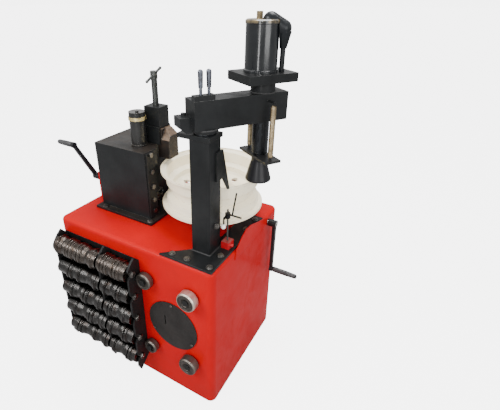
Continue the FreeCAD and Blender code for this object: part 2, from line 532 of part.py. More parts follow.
# tool bar clamped in a yoke by the T-handle screw
yoke_low = box("yoke_low", ("block_w", "tool_w + 14", "tool_top - post_top + 6"),
               ("block_x - block_w / 2", "block_y - tool_w / 2 - 7", "post_top"))
yoke_top = box("yoke_top", ("block_w", "tool_w + 2", "block_top - tool_top - 3"),
               ("block_x - block_w / 2", "block_y - tool_w / 2 - 1", "tool_top + 3"))
yoke_slot = box("yoke_slot", ("block_w + 20", "tool_w + 2 * slack", "tool_top - post_top + 1"),
                ("block_x - block_w / 2 - 10", "block_y - tool_w / 2 - slack", "post_top"))
keep(cut("clamp_block", fuse("yoke_all", yoke_low, yoke_top), yoke_slot,
         rod("yoke_bore", "tee_r + run_fit", 200, ("block_x", "block_y", "tool_top - 10"))))
tool_bar = fuse("tool_bar_raw", box("bar_long", (124, "tool_w", "tool_top - tool_low"),
                                (-118, "block_y - tool_w / 2", "tool_low")),
                box("bar_nose", (52, "tool_w", "tool_low - nose_low + 0.1"), (-46, "block_y - tool_w / 2", "nose_low")))
tip_bevel = plate("tip_bevel", "XZ_Plane", ((-28, "tool_top + 1"), (-16, "tool_top - 6"), (10, "tool_top - 27"),
                                            (40, "tool_top - 27"), (40, "tool_top + 1")), "tool_w + 40")
at(tip_bevel, 0, "block_y + tool_w / 2 + 20", 0)
side_bevel = plate("side_bevel", "YZ_Plane", (("block_y - tool_w / 2 - 1", "tool_top - 42"),
                                              ("block_y - tool_w / 2 + 26", "tool_top + 4"),
                                              ("block_y - tool_w / 2 - 1", "tool_top + 4")), 60)
at(side_bevel, -26, 0, 0)
keep(cut("tool_bar", tool_bar, tip_bevel, side_bevel))
keep(turned("clamp_plunger", ((0, 0), ("tee_r", 0), ("tee_r", 13.5), (4, 14.5), (4, 28), (0, 28))))
at(NODES[-1], "block_x", "block_y", "tool_top + 0.4")
screw_low = "tool_top + 0.4 + 15"
LEAN = (-0.235, 0.942, 0.24)
tee_ends = [["block_%s + tee_bar * %.4f" % (letter, step * side) for letter, step in zip("xy", LEAN)] +
            ["tee_top - 13 + tee_bar * %.4f" % (LEAN[2] * side)] for side in (-0.5, 0.5)]
tee_cross = rod("tee_cross", 4.5, "tee_bar", tee_ends[0])
at(tee_cross, *tee_ends[0], axis=(-LEAN[1], LEAN[0], 0), deg=math.degrees(math.acos(LEAN[2])))
tee_bar_parts = [tee_cross] + [ball("tee_ball_%d" % n, 5.5, end) for n, end in enumerate(tee_ends)]
tee = fuse("tee_all", rod("tee_rod", "tee_r", "tee_top - (%s)" % screw_low, ("block_x", "block_y", screw_low)),
           rod("tee_head", 13, 26, ("block_x", "block_y", "tee_top - 26")), *tee_bar_parts)
keep(cut("tee_screw", tee, rod("tee_socket", "4 + run_fit", 16, ("block_x", "block_y", screw_low))))

keep(fuse("feed_pot", rod("pot_flange", "pot_r + 2", 6, ("pot_x", "pot_y", "post_top")),
          rod("pot_can", "pot_r", 96, ("pot_x", "pot_y", "post_top")),
          rod("pot_cap", "pot_r + 1", 17, ("pot_x", "pot_y", "post_top + 109")),
          rod("pot_stem", "pot_r - 6", 14, ("pot_x", "pot_y", "post_top + 95.9")),
          rod("pot_button", 6, 7, ("pot_x + 12", "pot_y - 12", "post_top + 125.9"))))
keep(cut("pot_ring", rod("ring_disc", "pot_r + 3", 12, ("pot_x", "pot_y", "post_top + 96.5")),
         rod("ring_bore", "pot_r - 5.9", 40, ("pot_x", "pot_y", "post_top + 80"))))

# ---------------------------------------------------------------- roller rack
rib_points = [("-cab_d / 2 - 2", 556), ("-cab_d / 2 - 24", 582), ("-cab_d / 2 - 44", 566), ("-cab_d / 2 - 60", 548)]
for n in range(5):
    seat = "row_z - %d * row_step" % n
    rib_points += [("-cab_d / 2 - 60", seat + " + 13"), ("roll_y + 8.05", seat + " + 8.05"),
                   ("roll_y + 8.05", seat + " - 8.05"), ("roll_y - 10", seat + " - 8.05"),
                   ("-cab_d / 2 - 60", seat + " - 20")]
rib_points += [("-cab_d / 2 - 62", 80), ("-cab_d / 2 - 50", 50), ("-cab_d / 2 - 2", 96)]
RIBS = ("rib_left", "rib_mid", "rib_right")
ribs = []
for n, rib_x in enumerate(RIBS):
    rib = plate("rib_%d" % n, "YZ_Plane", rib_points, "rib_t")
    at(rib, rib_x + " - rib_t / 2", 0, 0)
    ribs.append(rib)
back_sheet = box("back_sheet", ("rib_right - rib_left + rib_t", 2, 470), ("rib_left - rib_t / 2", "-cab_d / 2 - 2", 92))
keep(together("rack_ribs", back_sheet, *ribs))
shafts = []
for n in range(5):
    z = "row_z - %d * row_step" % n
    long_rod = rod("rack_rod_%d" % n, 8, "rib_right - rib_left + rib_t + 22", ("rib_left - rib_t / 2 - 11", "roll_y", z), "X")
    ends = [hexagon("rack_nut_%d_%d" % (n, k), 12, 9, (x, "roll_y", z), "X")
            for k, x in enumerate(("rib_left - rib_t / 2 - 9", "rib_right + rib_t / 2"))]
    shafts.append(fuse("rack_shaft_%d" % n, long_rod, *ends))
keep(together("rack_shafts", *shafts))

# where the raised rings sit along each row: left bay, right bay, and ring radius
ROWS = (((18, 66, 80, 94, 124, 138, 196), (17, 32, 47, 75, 90, 104), 39), ((58, 72, 112, 198), (21, 78, 92), 40),
        ((50, 118, 132, 198), (20, 34, 98), 40), ((46, 128, 142, 198), (18, 84, 98), 40),
        ((42, 56, 136, 198), (18, 90, 104), 40))


def spool(label, long, rings, ring_r):
    """Forming roller with raised rings, turned about its own Z."""
    points = [("8 + run_fit", 0), (33, 0)]
    for n, middle in enumerate(rings):
        points += [(34, middle - 6), (ring_r, middle - 3), (ring_r, middle + 3), (34, middle + 6)]
        if n + 1 < len(rings) and rings[n + 1] - middle > 40:
            points += [(36, middle + 14), (31, (middle + rings[n + 1]) / 2), (35, rings[n + 1] - 14)]
    points += [(33, long), ("8 + run_fit", long)]
    return turned(label, points)


for n, (left_rings, right_rings, ring_r) in enumerate(ROWS):
    pair = []
    for k, (rib_x, long, rings) in enumerate((("rib_left", 217, left_rings), ("rib_mid", 130, right_rings))):
        roller = spool("spool_%d_%d" % (n, k), long, rings, ring_r)
        at(roller, rib_x + " + rib_t / 2 + 1", "roll_y", "row_z - %d * row_step" % n, axis=(0, 1, 0), deg=90)
        pair.append(roller)
    keep(together("rack_rollers_%d" % (n + 1), *pair))
for n, (px, pz, pr, pt) in enumerate(PEGS):
    spare = turned("spare_roller_%d" % (n + 1),
                   (("peg_r + run_fit", 0), (pr - 3, 0), (pr, 4), (pr, pt - 5), (pr - 3, pt), (pr - 9, pt),
                    (pr - 10, pt - 1.5), (17, pt - 1.5), (15, pt - 4), ("peg_r + run_fit", pt - 4)))
    at(spare, px, "-cab_d / 2 - 4.5", pz, axis=(1, 0, 0), deg=90)
    keep(spare)

# ---------------------------------------------------------------- swinging arm, in its own frame
beam_all = fuse("beam_all",
                cut("beam_tube",
                    box("beam_out", ("beam_tail + arm_len + beam_nose", "beam_w", "beam_top - beam_low"),
                        ("-beam_tail", "-beam_w / 2", "beam_low")),
                    box("beam_in", ("beam_tail + arm_len + beam_nose - 10", "beam_w - 2 * beam_wall",
                                    "beam_top - beam_low - 2 * beam_wall"),
                        ("-beam_tail + 5", "-beam_w / 2 + beam_wall", "beam_low + beam_wall"))),
                rod("hub_tube", "beam_w / 2 - 1", "beam_top - beam_low - 1", (0, 0, "beam_low")),
                rod("hub_collar", 40, 8.6, (0, 0, "beam_low - 8.6")),
                rod("press_tube", "beam_w / 2 - 1", "beam_top - beam_low", ("arm_len", 0, "beam_low")),
                rod("press_gland", "beam_w / 2 + 3", "plate_low - beam_top", ("arm_len", 0, "beam_top")))
tail_block = plate("tail_block", "XZ_Plane", (("-beam_tail - 36", 1085), ("-beam_tail + 1", 1085),
                                              ("-beam_tail + 1", 1040), ("-beam_tail - 18", 1040),
                                              ("-beam_tail - 36", 1056)), 46)
at(tail_block, 0, 34, 0)
tail_bolt = rod("tail_bolt", 7, 8, ("-beam_tail - 14", 16, 1084.9))
gusset = plate("gusset", "XZ_Plane", ((36, "beam_low + 2"), (36, "beam_low - 12"), (41, "beam_low - 11"), (50, "beam_low - 6"),
                                      (62, "beam_low - 2"), (76, "beam_low + 2")), 10)
at(gusset, 0, 5, 0)
LEVERS = (-21, 4)
valve_block = cut("valve_block_raw", box("valve_box", (62, 22, 15), ("-beam_tail + 1", -33, "beam_top - 0.1")),
                  *[box("valve_slot_%d" % n, (10.4, 16, 30), (lx - 5.2, -30, "beam_top + 3")) for n, lx in enumerate(LEVERS)],
                  rod("valve_pin_hole", "2 + run_fit", 80, ("-beam_tail - 4", -22, "beam_top + 9"), "X"))
hooks = [fuse("hook_%d" % n, rod("hook_pin_%d" % n, 3.4, 32, ("arm_len", 33 if n else -65, 1111), "Y"),
              rod("hook_head_%d" % n, 4, 4, ("arm_len", 65 if n else -69, 1111), "Y")) for n in range(2)]
arm_bores = (rod("pivot_bore", "pivot_r + run_fit", "beam_top - beam_low + 2", (0, 0, "beam_low - 10")),
             rod("ram_bore", "ram_r + run_fit", 200, ("arm_len", 0, "beam_low - 20")))
on_arm(cut("arm_beam", fuse("arm_all", beam_all, tail_block, tail_bolt, gusset, valve_block, *hooks), *arm_bores))
plate_raw = box("plate_raw", ("plate_l", "plate_w", "plate_top - plate_low"),
                ("arm_len - 4 - plate_l / 2", "-plate_w / 2", "plate_low"))
top_plate = cut("top_plate_raw", plate_raw, rod("plate_bore", "ram_r + run_fit", 60, ("arm_len", 0, 1150)))
top_plate_soft = rounded("press_plate", top_plate, 2, lambda b: b.ZLength > 20 and b.XLength < 1e-6)
on_arm(top_plate_soft)
barrel_x = "arm_len - barrel_off"
barrel = turned("barrel_turning", ((0, 0), ("barrel_r + 3", 0), ("barrel_r + 3", 7), ("barrel_r", 9),
                                   ("barrel_r", "barrel_top - plate_top - 12"),
                                   ("barrel_r + 1.5", "barrel_top - plate_top - 11"),
                                   ("barrel_r + 1.5", "barrel_top - plate_top - 3"),
                                   ("barrel_r - 3", "barrel_top - plate_top"), (0, "barrel_top - plate_top")))
at(barrel, barrel_x, 0, "plate_top")
cyl_nut = hexagon("cyl_nut", 10, 19, ("arm_len - barrel_off - 3", 13, "barrel_top - 0.1"))
on_arm(cut("press_cylinder", fuse("barrel_raw", barrel, cyl_nut),
           rod("barrel_mouth", 28, 20, ("arm_len", 0, "plate_top - 5")),
           rod("barrel_bore", "bore_r", "barrel_top - plate_top - 20", ("arm_len", 0, "plate_top + 8"))))

# fat elbow on the cylinder's shoulder: sloping barrel, round end, cone down to the return pipe
elbow_deg = -31
slope_deg = 30
ux = math.cos(math.radians(elbow_deg))
uy = math.sin(math.radians(elbow_deg))
reach = (math.cos(math.radians(slope_deg)), -math.sin(math.radians(slope_deg)))


def beside(far, height=0):
    """Point at a distance from the cylinder's axis, towards the elbow."""
    return ("arm_len - barrel_off + %.4f" % (far * ux), "%.4f" % (far * uy), "barrel_top + (%s)" % height)


elbow_long = 40
elbow_body = rod("elbow_body", 23, elbow_long, beside(22, -4))
at(elbow_body, *beside(22, -4), axis=(-uy, ux, 0), deg=90 + slope_deg)
elbow_end = ball("elbow_end", 23, beside(22 + elbow_long * reach[0], -4 + elbow_long * reach[1]))
elbow_root = ball("elbow_root", 23, beside(22, -4))
elbow_neck = taper("elbow_neck", 10, 21, 44, beside(60, -76))
elbow = cut("oil_elbow", fuse("elbow_all", elbow_body, elbow_end, elbow_root, elbow_neck),
            rod("elbow_clear", "barrel_r + 2.5", 150, ("arm_len - barrel_off", 0, "barrel_top - 150")))
pipe_low = "plate_top - barrel_top"
oil_pipe = fuse("oil_pipe", rod("pipe_rod", 7.5, "barrel_top - plate_top - 76", beside(60, pipe_low)),
                hexagon("pipe_nut", 9.4, 9, beside(60, pipe_low)))
on_arm(together("oil_line", elbow, oil_pipe))

for n, lx in enumerate(LEVERS):
    lever = fuse("valve_lever_%d" % (n + 1),
                 rod("lever_rod_%d" % n, 4.6, 40, (lx, -22, "beam_top + 9")),
                 taper("lever_grip_%d" % n, 6.4, 7.4, 42, (lx, -22, "beam_top + 34")),
                 ball("lever_tip_%d" % n, 7.3, (lx, -22, "beam_top + 75")),
                 rod("lever_hub_%d" % n, 4, 7, (lx - 3.5, -22, "beam_top + 9"), "X"),
                 rod("lever_pin_%d" % n, 2, 24, (lx - 12, -22, "beam_top + 9"), "X"))
    on_arm(lever)

# ---------------------------------------------------------------- press ram
ram = turned("ram_turning", ((0, 0), (20, 0), (20, 11), ("ram_r", 14), ("ram_r", "plate_top + 30 - head_z"),
                             ("bore_r - run_fit", "plate_top + 30 - head_z"),
                             ("bore_r - run_fit", "plate_top + 60 - head_z"), (0, "plate_top + 60 - head_z")))
at(ram, "arm_len", 0, "head_z")
on_arm(together("press_ram", ram))
head_raw = fuse("crosshead_all", box("head_bar", (56, "head_w", "head_t"), ("arm_len - 28", "-head_w / 2", "head_z")),
                *[rod("head_eye_%d" % n, 5, 6, ("arm_len", "spring_off * %d" % s, "head_z + head_t - 0.1"))
                  for n, s in enumerate((-1, 1))])
on_arm(cut("crosshead", head_raw, rod("head_bore", 20, 40, ("arm_len", 0, "head_z - 10"))))
shoe = turned("shoe_turning", ((0, 0), ("shoe_r - 1.5", 0), ("shoe_r", 1.5), ("shoe_r", 6),
                               ("shoe_top_r", "head_z - shoe_low - 14"), ("shoe_top_r", "head_z - shoe_low"),
                               (0, "head_z - shoe_low")))
at(shoe, "arm_len", 0, "shoe_low")
on_arm(together("press_shoe", shoe))


def coil(label, y):
    """Return spring beside the ram, stretched between hook pin and crosshead."""
    low = size("head_z") + size("head_t") + 6
    high = 1105.0
    spring = Part.makeHelix(5.4, high - low, size("spring_r"))
    spring.translate(V(0, 0, low))
    first = V(size("spring_r"), 0, low)
    ring_wire = Part.Wire(Part.Circle(first, V(0, 1, 0), size("wire_r")).toShape())
    piece = doc.addObject("Part::Feature", label)
    piece.Shape = Part.Wire(spring).makePipeShell([ring_wire], True, True)
    piece.Placement = FreeCAD.Placement(V(size("arm_len"), y, 0), FreeCAD.Rotation())
    return name_it(piece, label)


on_arm(together("return_springs", coil("coil_a", -size("spring_off")), coil("coil_b", size("spring_off"))))

# ---------------------------------------------------------------- check and write
doc.recompute()
if wheel_gear.Shape.Volume >= solid_gear:
    raise RuntimeError("tooth gaps cut nothing")
for obj in doc.Objects:
    if "Invalid" in obj.State or "Error" in obj.State:
        raise RuntimeError("bad feature: %s %s" % (obj.Name, obj.State))
for piece in NODES:
    if piece.Shape.isNull() or not piece.Shape.isValid():
        raise RuntimeError("bad shape: " + piece.Label)
    piece.Shape.exportStep("parts/%s.step" % piece.Label)
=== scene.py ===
import math

import bmesh
import bpy
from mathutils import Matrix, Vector


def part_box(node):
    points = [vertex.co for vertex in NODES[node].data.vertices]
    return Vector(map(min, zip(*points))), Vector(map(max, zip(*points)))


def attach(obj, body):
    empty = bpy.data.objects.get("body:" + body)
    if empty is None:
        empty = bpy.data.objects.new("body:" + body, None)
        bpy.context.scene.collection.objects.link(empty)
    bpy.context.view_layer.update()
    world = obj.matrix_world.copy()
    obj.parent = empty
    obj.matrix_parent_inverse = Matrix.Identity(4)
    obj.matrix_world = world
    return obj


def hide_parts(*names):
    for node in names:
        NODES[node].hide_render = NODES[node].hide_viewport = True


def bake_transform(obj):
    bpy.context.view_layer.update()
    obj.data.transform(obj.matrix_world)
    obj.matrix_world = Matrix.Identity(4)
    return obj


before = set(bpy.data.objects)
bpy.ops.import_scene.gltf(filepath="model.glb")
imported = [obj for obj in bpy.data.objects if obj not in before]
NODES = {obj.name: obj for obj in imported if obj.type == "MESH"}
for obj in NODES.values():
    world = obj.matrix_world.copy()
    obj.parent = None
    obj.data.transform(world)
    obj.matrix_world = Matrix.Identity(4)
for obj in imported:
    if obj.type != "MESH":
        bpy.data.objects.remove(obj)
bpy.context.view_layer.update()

SPRING_OFFSET = 0.062      # from the ram's axis to each return spring's axis
SPRING_RADIUS = 0.0072     # of the wire's centre line
SPRING_WIRE = 0.0015
SPRING_TURNS = 62
COLUMN_HALF = 0.035
BEAM_LOW = 1.047           # underside and top of the swinging arm's box section
BEAM_TOP = 1.132
BARREL_TALL = 0.14         # the cylinder above its plate
CROWN_TALL = 0.006         # brassy band at the cylinder's top, part brass ring and part painted highlight
BALL_TALL = 0.017          # white knob at the low end of the gauge's rods
BLOCK_TALL = 0.026         # red block at the foot of the gauge's stand
STEP = 0.0002              # half the width of a sharp change of colour
FLOOR_REACH = 60
SQUARE = ((-1, -1), (1, -1), (1, 1), (-1, 1))


# ---------------------------------------------------------------- material kit
class Kit:
    """Small helper that adds and wires shader nodes of one material."""

    def __init__(self, name):
        self.mat = bpy.data.materials.new(name)
        self.mat.use_nodes = True
        self.tree = self.mat.node_tree
        self.bsdf = self.tree.nodes["Principled BSDF"]
        self.coord = self.add("ShaderNodeTexCoord").outputs["Object"]

    def add(self, kind, **values):
        node = self.tree.nodes.new(kind)
        for key, value in values.items():
            setattr(node, key, value)
        return node

    def wire(self, source, target):
        self.tree.links.new(source, target)

    def put(self, socket, value):
        if hasattr(value, "is_output"):
            self.wire(value, socket)
        else:
            socket.default_value = value

    def noise(self, scale, detail=6, rough=0.6, warp=0.0, stretch=None):
        where = self.coord
        if stretch:
            where = self.stretched(stretch)
        node = self.add("ShaderNodeTexNoise")
        self.wire(where, node.inputs["Vector"])
        for key, value in (("Scale", scale), ("Detail", detail), ("Roughness", rough), ("Distortion", warp)):
            node.inputs[key].default_value = value
        return node.outputs["Fac"]

    def stretched(self, factors):
        node = self.add("ShaderNodeMapping")
        self.wire(self.coord, node.inputs["Vector"])
        node.inputs["Scale"].default_value = factors
        return node.outputs["Vector"]

    def rings(self, axis, scale, warp=1.0):
        node = self.add("ShaderNodeTexWave", wave_type="BANDS", bands_direction=axis)
        self.wire(self.coord, node.inputs["Vector"])
        node.inputs["Scale"].default_value = scale
        node.inputs["Distortion"].default_value = warp
        node.inputs["Detail"].default_value = 3
        node.inputs["Detail Scale"].default_value = 2
        return node.outputs["Fac"]

    def spots(self, scale, low, high):
        """Sparse flecks: 1 inside each fleck."""
        node = self.add("ShaderNodeTexVoronoi")
        self.wire(self.coord, node.inputs["Vector"])
        node.inputs["Scale"].default_value = scale
        return self.span(node.outputs["Distance"], low, high, 1, 0)

    def span(self, value, low, high, out_low=0.0, out_high=1.0):
        node = self.add("ShaderNodeMapRange")
        self.put(node.inputs["Value"], value)
        for key, number in (("From Min", low), ("From Max", high), ("To Min", out_low), ("To Max", out_high)):
            node.inputs[key].default_value = number
        return node.outputs["Result"]

    def math(self, kind, a, b=0.0, clamp=False):
        node = self.add("ShaderNodeMath", operation=kind, use_clamp=clamp)
        self.put(node.inputs[0], a)
        self.put(node.inputs[1], b)
        return node.outputs[0]

    def axis(self, letter):
        node = self.add("ShaderNodeSeparateXYZ")
        self.wire(self.coord, node.inputs[0])
        return node.outputs[letter]

    def facing(self, letter):
        geometry = self.add("ShaderNodeNewGeometry")
        node = self.add("ShaderNodeSeparateXYZ")
        self.wire(geometry.outputs["Normal"], node.inputs[0])
        return node.outputs[letter]

    def mix(self, factor, a, b):
        node = self.add("ShaderNodeMix", data_type="RGBA")
        self.put(node.inputs["Factor"], factor)
        self.put(node.inputs[6], colour(a))
        self.put(node.inputs[7], colour(b))
        return node.outputs[2]

    def edge(self, radius, low=0.02, high=0.25):
        """1 along sharp edges, 0 on open faces, broken up by noise."""
        bevel = self.add("ShaderNodeBevel", samples=4)
        bevel.inputs["Radius"].default_value = radius
        geometry = self.add("ShaderNodeNewGeometry")
        dot = self.add("ShaderNodeVectorMath", operation="DOT_PRODUCT")
        self.wire(bevel.outputs[0], dot.inputs[0])
        self.wire(geometry.outputs["Normal"], dot.inputs[1])
        sharp = self.span(dot.outputs["Value"], 1 - low, 1 - high)
        return self.math("MULTIPLY", sharp, self.span(self.noise(70, 4), 0.42, 0.62))

    def finish(self, base, rough, metallic=0.0, coat=0.0, bump=None, bump_size=0.0004, soft=0.0012,
               level=0.5):
        put = self.put
        put(self.bsdf.inputs["Base Color"], colour(base))
        put(self.bsdf.inputs["Roughness"], rough)
        put(self.bsdf.inputs["Metallic"], metallic)
        self.bsdf.inputs["Coat Weight"].default_value = coat
        self.bsdf.inputs["Coat Roughness"].default_value = 0.12
        self.bsdf.inputs["Specular IOR Level"].default_value = level
        bevel = self.add("ShaderNodeBevel", samples=4)
        bevel.inputs["Radius"].default_value = soft
        normal = bevel.outputs[0]
        if bump is not None:
            relief = self.add("ShaderNodeBump")
            relief.inputs["Strength"].default_value = 1.0
            relief.inputs["Distance"].default_value = bump_size
            put(relief.inputs["Height"], bump)
            self.wire(normal, relief.inputs["Normal"])
            normal = relief.outputs[0]
        self.wire(normal, self.bsdf.inputs["Normal"])
        return self.mat


def colour(value):
    if isinstance(value, tuple) and len(value) == 3:
        return (*value, 1.0)
    return value


# ---------------------------------------------------------------- finishes
def enamel(name, base, deep, worn, rough=0.34, coat=0.06, wear=0.6, dust=(0.22, 0.05, 0.035),
           dust_amount=0.2):
    """Sprayed gloss paint: orange peel, faint cloudiness, smudges, chipped edges, dust low down."""
    k = Kit(name)
    cloud = k.span(k.noise(5, 5), 0.35, 0.7)
    base = k.mix(k.math("MULTIPLY", cloud, 0.55), base, deep)
    smear = k.span(k.noise(14, 8, 0.7, 1.2, (1, 1, 0.35)), 0.56, 0.78)
    base = k.mix(k.math("MULTIPLY", smear, dust_amount), base, dust)
    low = k.span(k.axis("Z"), 0.0, 0.14, 0.4, 0.0)
    low = k.math("MULTIPLY", low, k.span(k.noise(22, 7, 0.7), 0.4, 0.75))
    base = k.mix(low, base, dust)
    chips = k.math("MULTIPLY", k.edge(0.0016), wear, clamp=True)
    base = k.mix(chips, base, worn)
    gloss = k.span(k.noise(9, 6, 0.65, 0.6), 0.3, 0.75, rough - 0.07, rough + 0.16)
    gloss = k.math("ADD", gloss, k.math("MULTIPLY", smear, 0.2))
    peel = k.math("ADD", k.math("MULTIPLY", k.noise(420, 2), 0.25), k.math("MULTIPLY", k.noise(26, 3), 1.2))
    return k.finish(base, gloss, 0.0, coat, peel, 0.0004, 0.0022, 0.05)


def black_paint(name, base=(0.0045, 0.005, 0.0053), rough=0.4, coat=0.05, scuff=0.5, rust=0.0, level=0.18):
    """Brushed-on black machine paint with oil film, grey scuffs and bare steel corners."""
    k = Kit(name)
    tone = k.mix(k.span(k.noise(8, 6), 0.35, 0.7), base, tuple(c * 1.9 + 0.002 for c in base))
    rubbed = k.span(k.noise(30, 9, 0.72, 0.8, (1, 1, 0.25)), 0.6, 0.78)
    tone = k.mix(k.math("MULTIPLY", rubbed, scuff * 0.4), tone, (0.034, 0.035, 0.034))
    scratch = k.span(k.noise(55, 8, 0.75, 0.3, (6, 6, 0.5)), 0.66, 0.74)
    tone = k.mix(k.math("MULTIPLY", scratch, scuff * 0.5), tone, (0.07, 0.067, 0.062))
    if rust:
        top = k.span(k.facing("Z"), 0.6, 0.95)
        blotch = k.math("MULTIPLY", top, k.span(k.noise(24, 8, 0.7, 0.5), 0.36, 0.6, 0.15, 1.0))
        tone = k.mix(k.math("MULTIPLY", blotch, rust), tone, (0.045, 0.03, 0.02))
    bare = k.math("MULTIPLY", k.edge(0.0012), 0.7)
    tone = k.mix(bare, tone, (0.16, 0.155, 0.15))
    gloss = k.span(k.noise(11, 7, 0.7, 1.0), 0.3, 0.72, rough - 0.1, rough + 0.18)
    relief = k.math("ADD", k.math("MULTIPLY", k.noise(180, 4), 0.4), k.math("MULTIPLY", k.noise(30, 5), 0.9))
    return k.finish(tone, gloss, k.math("MULTIPLY", bare, 0.8), coat, relief, 0.0005, 0.0016, level)


def turned_steel(name, base, dark, rough=0.3, axis="X", ring=900, grime=0.6, tint=None, metallic=1.0):
    """Lathe-turned steel: fine tool rings and oil stains."""
    k = Kit(name)
    lines = k.rings(axis, ring, 1.2)
    stain = k.span(k.noise(26, 8, 0.72, 1.0), 0.4, 0.68)
    tone = k.mix(k.math("MULTIPLY", stain, grime), base, dark)
    if tint:
        tone = k.mix(k.math("MULTIPLY", k.span(k.noise(42, 7, 0.7), 0.5, 0.66), 0.75), tone, tint)
    tone = k.mix(k.math("MULTIPLY", k.edge(0.0012), 0.7), tone, (0.62, 0.6, 0.57))
    gloss = k.span(k.noise(60, 7, 0.7), 0.3, 0.75, rough - 0.1, rough + 0.14)
    relief = k.math("ADD", k.math("MULTIPLY", lines, 0.35), k.math("MULTIPLY", k.noise(240, 4), 0.35))
    return k.finish(tone, gloss, metallic, 0.0, relief, 0.0002, 0.0010)


def rusty_steel(name, base, rust, amount, rough=0.5):
    """Bare steel gone brown on the faces that look up: pitted, streaky, bright where it is rubbed."""
    k = Kit(name)
    patch = k.span(k.noise(20, 9, 0.72, 0.6), 0.5 - 0.25 * amount, 0.72 - 0.2 * amount)
    patch = k.math("MULTIPLY", patch, k.span(k.facing("Z"), 0.1, 0.5, 0.12, 1.0))
    tone = k.mix(patch, base, rust)
    pits = k.math("MULTIPLY", k.span(k.noise(95, 6), 0.5, 0.66), 0.6)
    tone = k.mix(pits, tone, tuple(c * 0.35 for c in rust))
    bare = k.edge(0.0014)
    tone = k.mix(bare, tone, (0.5, 0.48, 0.45))
    gloss = k.span(k.noise(70, 7, 0.7), 0.3, 0.75, rough - 0.15, rough + 0.25)
    shine = k.span(patch, 0, 1, 0.5, 0.2)
    dents = k.math("MULTIPLY", k.spots(130, 0.1, 0.25), -0.4)
    relief = k.math("ADD", k.math("MULTIPLY", k.noise(160, 6), 0.7), dents)
    return k.finish(tone, gloss, shine, 0.0, relief, 0.0007, 0.0012)


def cream_paint(name):
    """Chalky wheel primer, yellowed along its edges, with brown chips and brake dust towards the hub."""
    k = Kit(name)
    tone = k.mix(k.span(k.noise(7, 6), 0.35, 0.7), (0.98, 0.91, 0.72), (0.95, 0.84, 0.60))
    scuff = k.span(k.noise(34, 9, 0.74, 1.0, (1, 1, 3)), 0.58, 0.76)
    tone = k.mix(k.math("MULTIPLY", scuff, 0.3), tone, (0.55, 0.47, 0.36))
    middle = k.add("ShaderNodeVectorMath", operation="DISTANCE")
    k.wire(k.coord, middle.inputs[0])
    low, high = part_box("wheel_rim")
    middle.inputs[1].default_value = ((low[0] + high[0]) / 2, (low[1] + high[1]) / 2, low[2] + 0.03)
    dust = k.math("MULTIPLY", k.span(middle.outputs["Value"], 0.04, 0.16, 0.7, 0.0), k.noise(18, 7))
    tone = k.mix(dust, tone, (0.30, 0.24, 0.19))
    flecks = k.math("MULTIPLY", k.spots(85, 0.06, 0.16), k.span(k.noise(12, 3), 0.5, 0.7))
    tone = k.mix(flecks, tone, (0.24, 0.12, 0.06))
    tone = k.mix(k.math("MULTIPLY", k.edge(0.006, 0.01, 0.12), 0.8), tone, (0.72, 0.52, 0.27))
    tone = k.mix(k.edge(0.0016), tone, (0.34, 0.24, 0.15))
    gloss = k.span(k.noise(16, 7, 0.7), 0.3, 0.75, 0.24, 0.5)
    relief = k.math("ADD", k.math("MULTIPLY", k.noise(300, 3), 0.3), k.math("MULTIPLY", k.noise(40, 5), 0.8))
    return k.finish(tone, gloss, 0.0, 0.1, relief, 0.0004, 0.0016)


def moulded(name, base, rough=0.5):
    """Moulded plastic grip: fine grain, shiny where hands polish it."""
    k = Kit(name)
    tone = k.mix(k.span(k.noise(40, 6), 0.35, 0.7), base, tuple(c * 1.8 + 0.01 for c in base))
    tone = k.mix(k.math("MULTIPLY", k.edge(0.0012), 0.5), tone, tuple(c * 2.5 + 0.05 for c in base))
    gloss = k.span(k.noise(24, 6, 0.6, 0.5), 0.3, 0.7, rough - 0.2, rough + 0.1)
    relief = k.math("ADD", k.math("MULTIPLY", k.noise(900, 2), 0.6), k.math("MULTIPLY", k.noise(60, 3), 0.4))
    return k.finish(tone, gloss, 0.0, 0.1, relief, 0.0003, 0.0012)


def plated(name, base, dull, rough=0.28):
    """Zinc or yellow-zinc plating with a cloudy bloom."""
    k = Kit(name)
    tone = k.mix(k.span(k.noise(55, 6), 0.4, 0.7), base, dull)
    tone = k.mix(k.math("MULTIPLY", k.span(k.noise(140, 7, 0.7), 0.56, 0.7), 0.5), tone, (0.12, 0.09, 0.06))
    gloss = k.span(k.noise(80, 5), 0.3, 0.7, rough - 0.1, rough + 0.2)
    return k.finish(tone, gloss, 1.0, 0.0, k.noise(420, 4), 0.0002, 0.0008)


def spare_roller_steel(name, node, bright):
    """Turned roller face with its own ring pattern, a bright outer rim that is part polished steel and part
    painted highlight, and painted shade around the centre bore.
    """
    k = Kit(name)
    low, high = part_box(node)
    hub = ((low[0] + high[0]) / 2, 0, (low[2] + high[2]) / 2)
    flat = k.add("ShaderNodeVectorMath", operation="MULTIPLY")
    k.wire(k.coord, flat.inputs[0])
    flat.inputs[1].default_value = (1, 0, 1)
    reach = k.add("ShaderNodeVectorMath", operation="DISTANCE")
    k.wire(flat.outputs[0], reach.inputs[0])
    reach.inputs[1].default_value = hub
    radius = reach.outputs["Value"]
    lines = k.math("SINE", k.math("MULTIPLY", radius, 5200.0))
    tone = k.mix(k.span(k.noise(30, 8, 0.7, 0.8), 0.38, 0.66), (0.075, 0.065, 0.058), (0.03, 0.025, 0.022))
    outer = (high[0] - low[0]) / 2
    # bright outer rim: part polished steel, part painted highlight; its strength is given per roller
    rim = k.span(radius, outer - 0.006, outer - 0.002)
    tone = k.mix(k.math("MULTIPLY", rim, bright), tone, (0.62, 0.56, 0.48))
    # painted shade: the face darkens towards the centre bore
    tone = k.mix(k.span(radius, 0.013, 0.019, 0.8, 0.0), tone, (0.03, 0.025, 0.02))
    gloss = k.span(k.noise(60, 7, 0.7), 0.3, 0.75, 0.26, 0.55)
    relief = k.math("ADD", k.math("MULTIPLY", lines, 0.1), k.math("MULTIPLY", k.noise(220, 4), 0.4))
    return k.finish(tone, gloss, 0.85, 0.0, relief, 0.0002, 0.0012)


